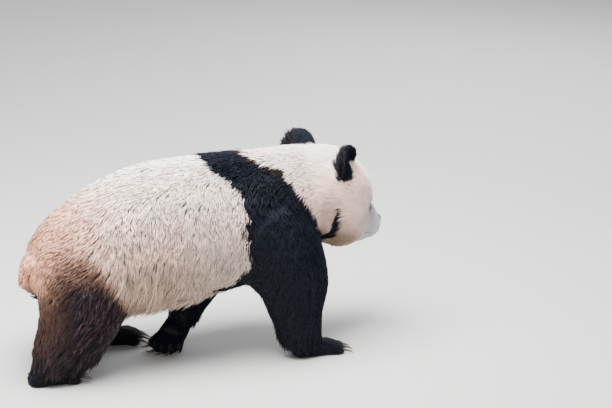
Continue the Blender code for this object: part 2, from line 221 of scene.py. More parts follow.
PAWS = ["forepaw_left", "forepaw_right", "hindpaw_left", "hindpaw_right"]
LEGS = [name.replace("paw", "leg") for name in PAWS]
EARS = ["ear_left", "ear_right"]
outline.points = outline.settle(outline.points, FIRM_ROUNDS)
trunk_and_neck, legs = share("trunk", "neck"), share("foreleg", "hindleg")
long_haired = trunk_and_neck + 0.5 * legs + 0.25 * share("tail")
rise = outline.points[:, 2]
long_haired = long_haired * ease(rise, 0.05, 0.12) + 0.08 * share("head")
before = outline.points.copy()
outline.points = outline.settle(outline.points, EASE_ROUNDS, 0.5 * np.clip(long_haired, 0, 1))
sunk = outline.settle(((before - outline.points) * outline.normals()).sum(1), 12)
outline.points = outline.points + outline.normals() * sunk[:, None]
outline.points[:, 2] = np.maximum(outline.points[:, 2], 0.0)

# --- The head's own frame ---
# The head is carried low and turned to the left. Its places are given along its own axes:
# out through the nose, across to its left, and up through the crown.

HEAD_NOD = radians(20)
EYE_FORWARD, EYE_RAISE = 0.138, 0.012  # the eyes' middle, from the middle of the head

left_of_head = unit(middle("eye_left") - middle("eye_right"))
level = unit(np.cross(left_of_head, (0, 0, 1)))
out_of_nose = level * cos(HEAD_NOD) - np.array((0, 0, sin(HEAD_NOD)))
up_from_head = np.cross(out_of_nose, left_of_head)
HEAD_AXES = np.array((out_of_nose, left_of_head, up_from_head))
between_eyes = (middle("eye_left") + middle("eye_right")) / 2
HEAD_MIDDLE = between_eyes - HEAD_AXES.T @ (EYE_FORWARD, 0, EYE_RAISE)


def in_head(points):
    return (points - HEAD_MIDDLE) @ HEAD_AXES.T


def from_head(point):
    return HEAD_MIDDLE + HEAD_AXES.T @ np.array(point)


# --- The skin ---
# One hide from nose to soles, as a museum draws it over its form. It lies inside the outline by
# the depth of the coat, and is bare on lids, lips, the leather round the nose, and the pads.

CoatPlan = namedtuple("CoatPlan", "depth lay width spacing lock shag")
# Depth of the coat, how many times its depth a tuft lies along the body, a tuft's width, the
# space between roots, the space between locks, and how much the coat parts into locks.
COAT_PLANS = {
    "trunk": CoatPlan(0.036, 1.8, 0.0038, 0.0053, 0.021, 0.9),
    "neck": CoatPlan(0.026, 1.6, 0.0036, 0.0046, 0.020, 0.25),
    "tail": CoatPlan(0.024, 1.9, 0.0040, 0.0052, 0.024, 1.0),
    "head": CoatPlan(0.010, 2.2, 0.0033, 0.0031, 0.014, 0.05),
    "ear": CoatPlan(0.011, 1.8, 0.0030, 0.0036, 0.012, 0.3),
    "foreleg": CoatPlan(0.019, 2.0, 0.0036, 0.0052, 0.022, 0.6),
    "hindleg": CoatPlan(0.025, 2.1, 0.0040, 0.0052, 0.022, 1.0),
    "forepaw": CoatPlan(0.008, 2.2, 0.0030, 0.0042, 0.012, 0.3),
    "hindpaw": CoatPlan(0.011, 2.2, 0.0032, 0.0042, 0.014, 0.5),
}
MUZZLE_DEPTH, LID_DEPTH = 0.0035, 0.0040  # the coat's depth on the muzzle and round the eyes
CHEEK_EXTRA, NAPE_EXTRA = 0.013, 0.006  # what it gains on the cheeks and behind the crown
SHANK_SHARE = 0.78  # what is left of it just over the feet
SOLE_HEIGHT = 0.006  # the soles are bare up to here


def plan(field):
    """One value of the coat plan, blended over the points of the form."""
    values = [getattr(COAT_PLANS[name.split("_")[0]], field) for name in FLESH]
    return share_of_part @ np.array(values)


outward = unit(outline.settle(outline.normals(), 6))
ahead, aside, above = in_head(outline.points).T
depth = plan("depth")
depth *= 1 - 0.30 * ease(outward[:, 2], 0.4, 0.9) * trunk_and_neck  # it lies flatter on the back
cheeks = share("head") * ease(0.10 - ahead, 0, 0.08) * ease(0.05 - above, 0, 0.10)
depth += CHEEK_EXTRA * cheeks
depth += NAPE_EXTRA * share("head") * ease(-ahead, 0.03, 0.12)
muzzle = share("head") * ease(ahead, 0.10, 0.17)
depth = blend(depth, MUZZLE_DEPTH, muzzle)
from_eyes = [np.linalg.norm(outline.points - middle(name), axis=1) for name in EYE_NAMES]
near_eye = 1 - ease(np.minimum(*from_eyes), 0.022, 0.055)
depth = blend(depth, LID_DEPTH, near_eye)
shank = legs * (1 - ease(rise, 0.06, 0.20))
depth *= 1 - (1 - SHANK_SHARE) * shank
depth *= ease(rise, 0.002, 0.030)
depth = np.minimum(outline.settle(depth, 4), 0.05)

hide = Hide(outline.points - outward * depth[:, None], outline.corners)
hide.points = hide.settle(hide.points, 8, 0.5 * np.clip(trunk_and_neck, 0, 1))

EYE_RADIUS = 0.0125
LID_LENGTH, LID_HEIGHT = 0.0098, 0.0068  # half of the opening between the lids
LID_THICKNESS, LID_TILT = 0.0013, radians(-8)
LID_POINT = 0.22  # how much narrower the opening is at its ends
SOCKET_DEPTH = 0.0022  # how far the skin sinks behind the ball's surface in the opening


class EyePlace:
    """Where an eye sits and looks: middle, line of sight, along the slit, and up."""

    def __init__(self, name):
        self.side = 1 if name.endswith("left") else -1
        self.middle = middle(name)
        self.sight = unit(HEAD_AXES.T @ np.array((0.86, 0.50 * self.side, 0.10)))
        out = unit(np.cross(up_from_head, self.sight)) * self.side
        rise = np.cross(self.sight, out) * self.side
        self.out = out * cos(LID_TILT) + rise * sin(LID_TILT)
        self.rise = rise * cos(LID_TILT) - out * sin(LID_TILT)

    def slit(self, points):
        """1 on the rim of the opening, less inside it; far behind the eye a large number."""
        away = points - self.middle
        ahead = away @ self.sight
        along = away @ self.out / LID_LENGTH
        narrowed = LID_HEIGHT * (1 - LID_POINT * np.clip(np.abs(along), 0, 1))
        high = away @ self.rise / narrowed
        return np.where(ahead > 0, np.hypot(along, high), 9.0)


EYES = [EyePlace(name) for name in EYE_NAMES]
slit = np.minimum(*[eye.slit(hide.points) for eye in EYES])
for eye in EYES:
    ring = eye.slit(hide.points)[:, None]
    radial = unit(hide.points - eye.middle)
    lid = eye.middle + radial * (EYE_RADIUS + LID_THICKNESS)
    behind = eye.middle + radial * (EYE_RADIUS - SOCKET_DEPTH)
    hide.points = blend(lid, hide.points, ease(ring, 1.25, 2.7))
    hide.points = blend(behind, hide.points, ease(ring, 0.90, 1.0))

MOUTH_SWEEP = radians(98)  # how far round the muzzle each side of the mouth runs
MOUTH_HINGE, MOUTH_HEIGHT, MOUTH_FALL = 0.135, -0.093, 0.026  # its arc's middle, and corners
CLEFT_TOP = -0.070  # where the cleft ends under the nose
OUTSIDE = 0.3  # far enough out to be clear of the muzzle
GROOVE_REACH = 0.05  # no farther from the mouth does it shape the skin
LIP_GROOVE, LIP_GROOVE_HALF = 0.0040, 0.0032  # depth and half width of the groove between lips
CLEFT_GROOVE, CLEFT_GROOVE_HALF = 0.0016, 0.0022
hide_tree = hide.tree()


def on_hide(start, heading):
    """Where a line in the head's frame, from outside, meets the skin."""
    hit = hide_tree.ray_cast(Vector(from_head(start)), Vector(HEAD_AXES.T @ np.array(heading)))
    return np.array(hit[0])


def mouth_line():
    """Points along the closed mouth, from the right corner to the left, and up to the nose."""
    lips = []
    for step in np.linspace(-1, 1, 61):
        turn = MOUTH_SWEEP * step
        drop = MOUTH_HEIGHT - MOUTH_FALL * abs(step) ** 1.6
        away = np.array((cos(turn), sin(turn), 0.0))
        lips.append(on_hide(np.array((MOUTH_HINGE, 0, drop)) + away * OUTSIDE, -away))
    drops = np.linspace(CLEFT_TOP, MOUTH_HEIGHT, 12)
    return np.array(lips), np.array([on_hide((0.4, 0, drop), (-1, 0, 0)) for drop in drops])


lips, cleft = mouth_line()


def gap_to(line):
    """How far the skin's points are from a line, as far as it shapes them."""
    tree = point_tree(line)
    gaps = np.full(len(hide.points), GROOVE_REACH)
    for i in np.flatnonzero(np.linalg.norm(hide.points - line.mean(0), axis=1) < 0.14):
        gaps[i] = min(tree.find(hide.points[i].tolist())[2], GROOVE_REACH)
    return gaps


def swell(gap, half):
    """1 on a line or at a place, and falling off smoothly over the given half width."""
    return np.exp(-((gap / half) ** 2))


from_lips, from_cleft = gap_to(lips), gap_to(cleft)
groove = LIP_GROOVE * swell(from_lips, LIP_GROOVE_HALF)
groove = groove + CLEFT_GROOVE * swell(from_cleft, CLEFT_GROOVE_HALF)
hide.points -= outward * groove[:, None]
lip_skin = np.maximum(swell(from_lips, 0.0042), swell(from_cleft, CLEFT_GROOVE_HALF))
NOSE_HALF = np.array((0.0215, 0.0325, 0.0215))  # half its length, width and height
nose_place = (hide.points - middle("nose")) @ HEAD_AXES.T
nose_skin = 1 - ease(np.linalg.norm(nose_place / (NOSE_HALF + 0.001), axis=1), 0.98, 1.10)

# The bent forepaw shows its palm: five toe pads, the long pad behind them, and two small ones at
# the wrist.
toe_claws = np.array([middle(f"claw_forepaw_left_{i}") for i in range(1, 6)])
palm_middle = middle("forepaw_left")
toeward = unit(toe_claws.mean(0) - palm_middle)
across_palm = unit(toe_claws[4] - toe_claws[0])
palm_up = unit(np.cross(across_palm, toeward))
palm_up = palm_up * np.sign(palm_up[2])
palm_place = hide.points - palm_middle
palm_x, palm_y = palm_place @ toeward, palm_place @ across_palm
PAD_RISE = 0.0045
PADS = [  # each pad's place towards the toes and across, and half its length and width
    (0.012, 0.0, 0.016, 0.046),
    (-0.042, 0.030, 0.018, 0.015),
    (-0.040, -0.030, 0.016, 0.012),
]
for claw in toe_claws:
    spot = claw - palm_middle
    PADS.append((spot @ toeward - 0.034, spot @ across_palm, 0.013, 0.011))
pad_field = np.zeros(len(hide.points))
for along, over, half_long, half_wide in PADS:
    off = ((palm_x - along) / half_long) ** 2 + ((palm_y - over) / half_wide) ** 2
    pad_field = np.maximum(pad_field, np.clip(1 - off, 0, 1))
pad_field *= ease(outward @ palm_up, 0.1, 0.5) * share("forepaw_left")
hide.points += outward * (PAD_RISE * np.sqrt(pad_field))[:, None]
soles = ease(SOLE_HEIGHT - hide.points[:, 2], 0, 0.003) * share("forepaw", "hindpaw")
pad_skin = np.maximum(ease(pad_field, 0.0, 0.25), soles)

# --- The markings ---
# The same markings colour the skin and the coat: black ears, eye patches, forelegs and the band
# over the shoulders, dark hind legs that fade into the flank, and a cream rest, warmer behind.

# Jet black, the hind legs' brown, red-brown in dark hair, warm cream that is partly painted shade on
# the sides, ochre stains and painted shade, and the muzzle's grey-white with a painted sky
# reflection.
MARKS = ("black", "dusk", "russet", "warm", "ochre", "lilac")
BAND_REAR = 0.092  # x of the band's rear edge down the flank
PATCH_TILT = radians(38)
PATCH_HALF_LENGTH, PATCH_HALF_WIDTH = 0.042, 0.027  # of the patch round each eye
EAR_BASE = np.array((-0.056, 0.134, 0.100))  # the black round each ear's foot, in the head's frame
EAR_BASE_RADIUS = 0.037
UNMARKED = -0.05  # well outside any edge


def ripple(points, size, seed):
    """A smooth random value from -1 to 1 for each point, that changes over the given size."""
    shift = Vector((seed * 7.3, seed * 3.1, seed * 5.7))
    return np.array([noise.noise(Vector(p) / size + shift) for p in points.tolist()]) * 1.6


# The crease down behind each cheek, by how far ahead and above in the head's own frame.
CREASE_TOP, CREASE_FOOT = np.array((-0.044, -0.018)), np.array((-0.030, -0.134))
CREASE_LENGTH = 0.13


def cheek_crease(points):
    """Above 0 in the cheek's crease and on the dark chest behind it, and below 0 elsewhere."""
    ahead, aside, above = in_head(points).T
    run = unit(CREASE_FOOT - CREASE_TOP)
    away = np.stack([ahead, above], axis=1) - CREASE_TOP
    along, behind = away @ run, away @ (run[1], -run[0])
    half_width = 0.004 + 0.27 * np.minimum(along, 0.055)
    crease = np.where(along > 0, half_width - np.abs(behind), UNMARKED)
    crease = np.where(along > CREASE_LENGTH, CREASE_LENGTH - along, crease)
    chest = np.minimum(behind, -0.078 - 0.36 * (ahead + 0.15) - above)
    return np.where(np.abs(aside) > 0.06, np.maximum(crease, chest), UNMARKED)


def largest(*values):
    """The largest of several values, point by point."""
    return np.maximum.reduce(values)


def markings(points, normals, parts):
    """The markings at points on the outline. parts gives each point's share of each part."""
    x, y, z = points.T
    ahead, aside, above = in_head(points).T
    upward = normals[:, 2]

    def of(name):
        return share(name, parts=parts)

    head, trunk, hind, hind_paws = of("head"), of("trunk"), of("hindleg"), of("hindpaw")

    # The band over the shoulders, with the cheek's crease, and the forelegs below it.
    ragged = 0.007 * ripple(points, 0.028, 1) + 0.004 * ripple(points, 0.010, 2)
    rear = BAND_REAR - 0.085 * ease(z, 0.655, 0.735) - 0.035 * ease(0.38 - z, 0, 0.10)
    front = 0.266 + 0.770 * (0.686 - z) - 1.5 * np.maximum(z - 0.690, 0)
    band = np.minimum(x - rear, (front - x) * 0.8) + ragged
    band = np.where((head > 0.55) & (ahead > -0.13), UNMARKED, band)
    # The black in the cheek's crease is partly the chest's black fur and partly painted shadow in the
    # gap between cheek and ruff.
    crease = np.where(ahead > -0.13, cheek_crease(points) + ragged * 0.4, UNMARKED)
    fore = ease(of("foreleg"), 0.35, 0.60) * ease(0.40 - z, -0.02, 0.05)
    fore = np.where(head > 0.5, 0, fore * ease(x - rear, -0.5, -0.05))
    bent_fore = ease(of("foreleg_left") * ease(0.43 - z, 0, 0.03), 0.08, 0.24)
    blacks = [ease(np.maximum(band, crease), -0.003, 0.003), fore, bent_fore]
    blacks += [ease(of(name) + ragged * 8, 0.42, 0.56) for name in PAWS[:2] + EARS]

    # The patches round the eyes, tilted down and out, and the feet of the ears.
    for eye in EYES:
        high = (points - eye.middle) @ up_from_head + 0.009
        out = aside * eye.side - abs(in_head(eye.middle)[1]) - 0.003
        long = high * cos(PATCH_TILT) - out * sin(PATCH_TILT)
        wide = high * sin(PATCH_TILT) + out * cos(PATCH_TILT)
        patch = 1 - np.hypot(long / PATCH_HALF_LENGTH, wide / PATCH_HALF_WIDTH)
        patch = patch - 25 * np.maximum(ahead - 0.152, 0)
        patch = np.where(ahead > 0.02, patch, -1) + ragged * 10
        blacks.append(ease(patch, -0.05, 0.06))
    from_ear = (np.stack([ahead, np.abs(aside), above], axis=1) - EAR_BASE) / (1.3, 1, 1)
    ear_base = EAR_BASE_RADIUS - np.linalg.norm(from_ear, axis=1)
    ear_base = np.where(head > 0.3, ear_base, -0.1) + 0.7 * ragged
    blacks.append(ease(ear_base, -0.004, 0.004))

    # The hind legs, dark from the hip line down, and darkest at the feet and on the inside.
    hip_line = 0.548 - 1.25 * np.maximum(x + 0.485, 0) - 0.5 * np.maximum(-0.545 - x, 0)
    fall = hip_line - z + 0.015 * ripple(points, 0.05, 3) + 0.013 * ripple(points, 0.016, 4)
    fall -= 0.055 * ease(-x, 0.56, 0.66)
    fall *= 1 + 1.2 * ease(x, -0.50, -0.40)
    dusk = np.clip((fall + 0.055) / 0.245, 0, 1) ** 1.25 * ease(-x, 0.24, 0.33)
    dusk *= 1 - of("tail") * ease(z, 0.22, 0.28)
    dusk *= 1 - 0.8 * ease(-x + ragged, 0.60, 0.68) * ease(z, 0.34, 0.43)
    inner = ease(hind, 0.3, 0.7) * ease(0.34 - z, 0, 0.08)
    dusk = largest(dusk, inner, hind_paws)
    feet = np.clip(hind + hind_paws, 0, 1) * ease(0.15 - z + ragged, 0, 0.13)
    black = largest(*blacks, 0.85 * feet)

    # Red-brown on the rump's dark hair, along the band's front rim and behind the ears.
    rump = ease(-x, 0.50, 0.66) * ease(z, 0.06, 0.30)
    rim = ease(0.045 - np.abs(front - x) + 2 * ragged, 0, 0.05) * ease(z, 0.60, 0.70)
    ear = 0.4 * ease(of("ear"), 0.2, 0.6) * ease(-ahead, 0.085, 0.125)
    russet = largest(rump, rim * np.clip(1 - head - of("ear"), 0, 1), ear)

    # Warm cream towards the rump, and painted shade on the sides: warmer and darker there than along
    # the back.
    warm = ease(-x, 0.0, 0.66) ** 1.3 * (1 - 0.75 * ease(upward, 0.35, 0.95) * ease(x, -0.5, -0.3))
    warm *= 1 - ease(x, 0.05, 0.15)
    # Painted shade: where the surface faces out rather than up, on the sides, cheeks and neck, the
    # warmer cream also darkens it.
    sides = 1 - ease(upward, 0.35, 0.90)
    flank = blend(0.28, 0.55, ease(-x, -0.02, 0.24)) * sides * trunk
    cheek = 0.45 * sides * head * (1 - ease(ahead, 0.04, 0.12))
    warm = largest(warm, flank, 0.50 * sides * of("neck"), cheek)

    # Ochre in streaks low on the flank, more towards the bottom, and under the belly, partly stain
    # and partly painted shade; on the chin; and along the crease as painted shade.
    belly_stain_and_shade = ease(-upward, 0.1, 0.8) * ease(0.34 - z, 0, 0.12) * ease(0.2 - x, 0, 0.1)
    belly_stain_and_shade *= 0.75 * np.clip(0.5 + ripple(points, 0.03, 8), 0, 1)
    streaks = ripple(points * (1, 1, 0.22), 0.011, 9) + 0.5 * ripple(points, 0.06, 10)
    # Partly stain and partly painted shade, darker towards the bottom of the sides.
    low = ease(0.50 - z, 0, 0.16) * sides * trunk * ease(-x, 0.02, 0.34)
    low = 0.80 * low * ease(streaks + 0.5 * ease(0.40 - z, 0, 0.10), 0.0, 0.7)
    chin = head * ease(-above, 0.07, 0.12) * ease(0.14 - ahead, 0, 0.08)
    # Painted shade: a soft brown along the cheek's crease.
    crease_shade = 0.5 * head * ease(cheek_crease(points), -0.018, 0.002)
    ochre = largest(belly_stain_and_shade, low, 0.7 * chin, crease_shade)
    # The muzzle: grey-white, with a lilac tint that is a painted reflection of the sky.
    lilac = head * ease(ahead, 0.10, 0.20)
    return np.stack([black, dusk, russet, warm, ochre, lilac], axis=1)


skin_marks = markings(outline.points, outward, share_of_part)


class Wire:
    """A value, colour or vector in a finish. Arithmetic on values adds the nodes that work it out."""

    def __init__(self, finish, socket):
        self.finish, self.socket = finish, socket

    def maths(self, operation, first, second):
        return self.finish.node("ShaderNodeMath", {"operation": operation}, {0: first, 1: second})

    def __add__(self, other):
        return self.maths("ADD", self, other)

    __radd__ = __add__

    def __sub__(self, other):
        return self.maths("SUBTRACT", self, other)

    def __rsub__(self, other):
        return self.maths("SUBTRACT", other, self)

    def __mul__(self, other):
        return self.maths("MULTIPLY", self, other)

    __rmul__ = __mul__

    def between(self, low, high):
        """0 below low, 1 above high, and straight between."""
        values = {0: self, 1: low, 2: high, 3: 0.0, 4: 1.0}
        return self.finish.node("ShaderNodeMapRange", {"clamp": True}, values)

    def tint(self, colour, other):
        """Two colours mixed: colour where this value is 0, other where it is 1."""
        settings = {"data_type": "RGBA"}
        return self.finish.node("ShaderNodeMix", settings, {0: self, 6: colour, 7: other}, 2)


class Finish:
    """A material in the making. Constants of its shader are set once, by name."""

    def __init__(self, name, **constants):
        self.material = bpy.data.materials.new(name)
        self.material.use_nodes = True
        self.shader = self.material.node_tree.nodes["Principled BSDF"]
        for key, value in constants.items():
            self.shader.inputs[key.replace("_", " ")].default_value = value

    def node(self, kind, settings, values, output=0):
        """A new node: its settings first, then the values or wires of its inputs."""
        made = self.material.node_tree.nodes.new(kind)
        for key, value in settings.items():
            setattr(made, key, value)
        for key, value in values.items():
            if isinstance(value, Wire):
                self.material.node_tree.links.new(value.socket, made.inputs[key])
            else:
                made.inputs[key].default_value = value
        return Wire(self, made.outputs[output])

    def mark(self, name):
        """A value that the mesh carries."""
        return self.node("ShaderNodeAttribute", {"attribute_name": name}, {}, 2)

    def grain(self, scale, detail=3.0, stretch=(1, 1, 1)):
        """Fine random variation, from the object's own coordinates."""
        place = self.node("ShaderNodeTexCoord", {}, {}, 3)
        place = self.node("ShaderNodeMapping", {}, {"Vector": place, "Scale": stretch})
        values = {"Vector": place, "Scale": scale, "Detail": detail}
        return self.node("ShaderNodeTexNoise", {}, values)

    def darkened(self, colour, shade):
        """A colour multiplied by a value."""
        grey = self.node("ShaderNodeCombineColor", {}, {0: shade, 1: shade, 2: shade})
        settings = {"data_type": "RGBA", "blend_type": "MULTIPLY"}
        return self.node("ShaderNodeMix", settings, {0: 1.0, 6: colour, 7: grey}, 2)

    def feed(self, socket, wire):
        self.material.node_tree.links.new(wire.socket, self.shader.inputs[socket])

    def speckle(self, colour, other, scale):
        """Gives the shader two colours in a fine grain."""
        self.feed("Base Color", self.grain(scale).tint(colour, other))

    def bump(self, height, distance, strength):
        values = {"Height": height, "Distance": distance, "Strength": strength}
        self.feed("Normal", self.node("ShaderNodeBump", {}, values))


CREAM, WARM_CREAM = (0.88, 0.80, 0.75, 1), (0.85, 0.43, 0.29, 1)
# Ochre stands for stains and for painted shade in creases, under the belly and between locks.
OCHRE_STAIN_AND_SHADE, LILAC_GREY_AND_SKY_REFLECTION = (0.30, 0.20, 0.10, 1), (0.71, 0.68, 0.75, 1)
# The colours at the roots of the hair: partly the underwool, partly painted shade deep in the coat.
UNDERWOOL_AND_ROOT_SHADE, WARM_UNDERWOOL_AND_ROOT_SHADE = (0.62, 0.52, 0.46, 1), (0.44, 0.27, 0.19, 1)
BROWN, RUSSET, DUSK = (0.24, 0.130, 0.092, 1), (0.085, 0.042, 0.032, 1), (0.015, 0.009, 0.012, 1)
# Lighter purple-grey strands towards the tips of the dark hair: painted sheen.
DUSK_SHEEN_STRAND = (0.120, 0.078, 0.084, 1)
# The black's blue tint is a painted sheen of the sky on the black fur; the brown-black is its own
# colour.
BLACK_WITH_BLUE_SHEEN, BROWN_BLACK = (0.0036, 0.0054, 0.0120, 1), (0.026, 0.013, 0.010, 1)


def hair_colour(finish, along, tone):
    """The coat's colour from its markings, from the root to the tip of the hair. The darker roots are
    partly underwool and partly painted shade deep in the coat.
    """
    black, dusk, russet, warm, ochre, lilac = (finish.mark(name) for name in MARKS)
    light = ochre.tint(lilac.tint(warm.tint(CREAM, WARM_CREAM), LILAC_GREY_AND_SKY_REFLECTION), OCHRE_STAIN_AND_SHADE)
    under = warm.tint(UNDERWOOL_AND_ROOT_SHADE, WARM_UNDERWOOL_AND_ROOT_SHADE)
    light = (along + 0.25 * tone).between(0.10, 0.60).tint(under, light)
    dark = russet.tint(DUSK, RUSSET)
    dark = (tone * along).between(0.25, 0.70).tint(dark, DUSK_SHEEN_STRAND)
    light = dusk.between(0.0, 0.55).tint(light, BROWN)
    light = dusk.between(0.40, 0.95).tint(light, dark)
    jet = (russet * (along + 0.3)).between(0.2, 0.9).tint(BLACK_WITH_BLUE_SHEEN, BROWN_BLACK)
    return black.tint(light, jet)


def lay_mark(mesh, name, values):
    """A value on each point of a mesh, for its finish."""
    layer = mesh.attributes.new(name, "FLOAT", "POINT")
    layer.data.foreach_set("value", np.ascontiguousarray(values, dtype=np.float32))


def to_object(name, points, corners, finish):
    """A new smooth-shaded object from arrays."""
    mesh = bpy.data.meshes.new(name)
    mesh.from_pydata(points.tolist(), [], [list(face) for face in corners])
    mesh.shade_smooth()
    mesh.materials.append(finish.material)
    return linked(name, mesh)


hide_finish = Finish("skin under the coat", Roughness=0.7, Specular_IOR_Level=0.15)
# The skin takes the colour of the hair's roots, which is partly painted shade; it is lighter on the
# head.
wool = 0.14 + 0.30 * hide_finish.grain(40) + 0.45 * hide_finish.mark("plush")
undercoat = hair_colour(hide_finish, wool, hide_finish.grain(25))
leather = hide_finish.grain(260, 4).tint((0.012, 0.010, 0.011, 1), (0.040, 0.034, 0.035, 1))
bare = hide_finish.mark("bare")
hide_finish.feed("Base Color", bare.tint(undercoat, leather))
hide_finish.bump(bare.tint(hide_finish.grain(90, 6), hide_finish.grain(420, 2)), 0.0012, 0.8)

skin = to_object("skin", hide.points, hide.corners, hide_finish)
for i, mark in enumerate(MARKS):
    lay_mark(skin.data, mark, skin_marks[:, i])
lid_skin = np.where(slit < 8, swell(np.maximum(slit - 1, 0), 0.45), 0)
bare_skin = largest(lip_skin, nose_skin, pad_skin, lid_skin)
lay_mark(skin.data, "bare", np.clip(bare_skin, 0, 1))
lay_mark(skin.data, "plush", share("head"))
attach(skin, "root")
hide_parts(*FLESH)

# --- The coat ---
# Dense wool and guard hair, made as solid tufts: closed three-sided spikes that rise from the
# skin, bend over and lie along the body. Neighbours run together at their tips into locks.

draw = np.random.default_rng(7)
STRAY = 0.36  # how far the lie of the hair wanders, in radians


def lie_of_coat():
    """The heading of the hair at each point of the form: back from the nose, and down the limbs."""
    lie = np.zeros_like(outline.points)

    def comb(name, heading):
        nonlocal lie
        lie = lie + unit(np.array(heading)) * share(name)[:, None]

    def flat(vectors):
        return unit(vectors - outward * (vectors * outward).sum(1)[:, None])

    steep = ease(np.abs(outward[:, 1]), 0.25, 0.75)[:, None]
    along_back = np.outer(np.sign(outline.points[:, 1]), (0, 0.35, 0)) + (-1, 0, -0.1)
    comb("trunk", blend(along_back, np.array((-0.16, 0, -1.0)), steep))
    comb("neck", (-0.75, 0.0, -0.65))
    comb("tail", (-0.25, 0, -1.0))
    from_nose = unit(outline.points - from_head((0.235, 0, -0.035)))
    comb("head", from_nose + np.outer(ease(-above, -0.05, 0.10), (0, 0, -0.45)))
    for leg, paw in zip(LEGS, PAWS):
        comb(leg, unit(middle(paw) - middle(leg) - (0, 0, 0.15)) + (-0.38, 0, 0))
    for paw in PAWS:
        toes = np.mean([middle(f"claw_{paw}_{i}") for i in range(1, 6)], axis=0)
        comb(paw, toes - middle(paw))
    for name in EARS:
        comb(name, outline.points - (middle(name) - up_from_head * 0.06))
    for eye in EYES:
        away = outline.points - eye.middle
        lie = lie + unit(away) * (2.2 * swell(np.linalg.norm(away, axis=1), 0.026))[:, None]
    return flat(outline.settle(flat(lie), 10))


lie = lie_of_coat()
turn = STRAY * (ripple(outline.points, 0.11, 5) + 0.6 * ripple(outline.points, 0.045, 6))
turn *= np.clip(0.3 + plan("shag"), 0, 1)
lie = lie * np.cos(turn)[:, None] + np.cross(outward, lie) * np.sin(turn)[:, None]

FINE_SPACING, FINE_WIDTH = 0.0025, 0.0016  # of the short hair on the muzzle and round the eyes
spacing = blend(blend(plan("spacing"), FINE_SPACING, muzzle), FINE_SPACING, near_eye)
barren = np.clip(largest(nose_skin, 0.96 * pad_skin, lip_skin * 1.1 - 0.25), 0, 1)
barren = np.where(slit < 1.20, 1.0, barren)
barren = np.maximum(barren, ease(SOLE_HEIGHT - outline.points[:, 2], 0, 0.002))
wanted = (1 - barren) / spacing**2

MARK_STRAY = 0.0055  # how far hair of one colour strays into the next, in the long coat
TRIAL_ROOTS = 3.0  # roots tried for each one wanted
ROOT_GAP = 0.80  # the least distance between two roots, as a share of their spacing
area = np.linalg.norm(hide.face_normals(), axis=1)
count = TRIAL_ROOTS * area * wanted[hide.corners].mean(1) + draw.random(len(area))
faces = np.repeat(np.arange(len(area)), np.floor(count).astype(int))
weights = draw.dirichlet((1, 1, 1), len(faces))


def at_roots(values):
    """Values of the form's points, carried to the roots of the tufts."""
    return np.einsum("ij,ij...->i...", weights, values[hide.corners[faces]])


def spread_out(points, gaps):
    """Which points to keep, so that none stands nearer to another than its gap."""
    rows = np.array((4000 * 4000, 4000, 1))  # turns a cell's three numbers into one key
    keys = (np.floor(points / gaps.max()).astype(int) + 1000) @ rows
    around = ((np.indices((3, 3, 3)).reshape(3, -1).T - 1) @ rows).tolist()
    placed, kept = {}, []

    def clear(key, x, y, z, square):
        for shift in around:
            for a, b, c in placed.get(key + shift, ()):
                if (a - x) ** 2 + (b - y) ** 2 + (c - z) ** 2 < square:
                    return False
        return True

    columns = (keys.tolist(), points.tolist(), (gaps**2).tolist())
    for i, (key, place, square) in enumerate(zip(*columns)):
        if clear(key, *place, square):
            placed.setdefault(key, []).append(place)
            kept.append(i)
    return np.array(kept)


mixed = draw.permutation(len(faces))
faces, weights = faces[mixed], weights[mixed]
gap = ROOT_GAP / np.sqrt(np.maximum(at_roots(wanted), 1 / spacing.max() ** 2))
kept = spread_out(at_roots(hide.points), gap)
faces, weights = faces[kept], weights[kept]

# What each root knows: its place on the skin and on the outline, which way is out, the lie of
# the hair, and the coat plan there.
root, cover = at_roots(hide.points), at_roots(outline.points)
root_out, root_lie = unit(at_roots(outward)), unit(at_roots(lie))
root_parts = at_roots(share_of_part)
coat_depth = np.linalg.norm(cover - root, axis=1)
lay, width, lock_space, shag = (at_roots(plan(w)) for w in ("lay", "width", "lock", "shag"))
width = blend(blend(width, FINE_WIDTH, at_roots(muzzle)), FINE_WIDTH, at_roots(near_eye))
shag *= 1 - 0.60 * ease(root_out[:, 2], 0.45, 0.90)
strayed = cover + MARK_STRAY * shag[:, None] * draw.normal(size=cover.shape)
tuft_marks = markings(strayed, root_out, root_parts)

# Low on the trunk the coat hangs in strings: how far each root is in that, and in its lowest part.
in_trunk, on_ears = share("trunk", parts=root_parts), share("ear", parts=root_parts)
on_legs = share("foreleg", "hindleg", parts=root_parts)
x, y, z = cover.T
upward = root_out[:, 2]
low_flank = in_trunk * ease(0.25 - upward, 0, 0.4) * ease(0.50 - z, 0, 0.12)
stringy = in_trunk * ease(0.35 - upward, 0, 0.4) * ease(0.58 - z, 0, 0.14)
lock_space = lock_space * (1 + 0.35 * stringy)

# Locks: some roots are seeds, and each tuft joins the seed that it lies most nearly behind.
NEAR_LOCKS = 14  # seeds looked at for each tuft
LOCK_SLIM, STRAND_SLIM = 0.36, 0.14  # a lock's width by its length, and a long hanging strand's
seeds = np.flatnonzero(draw.random(len(root)) < (at_roots(spacing) / lock_space) ** 2)
seed_tree = point_tree(cover[seeds])
near = np.array([[hit[1] for hit in seed_tree.find_n(p, NEAR_LOCKS)] for p in cover.tolist()])
away = cover[seeds][near] - cover[:, None]
run = (away * root_lie[:, None]).sum(2)
off = np.linalg.norm(away - run[..., None] * root_lie[:, None], axis=2)
slim = blend(LOCK_SLIM, STRAND_SLIM, stringy)
nearest = np.hypot(off, slim[:, None] * run).argmin(1)
here = (np.arange(len(root)), nearest)
lock = near[here]
past_seed = -run[here]
lock_edge = np.clip(off[here] / (0.60 * np.sqrt(slim) * lock_space), 0, 1)  # 1 between two locks

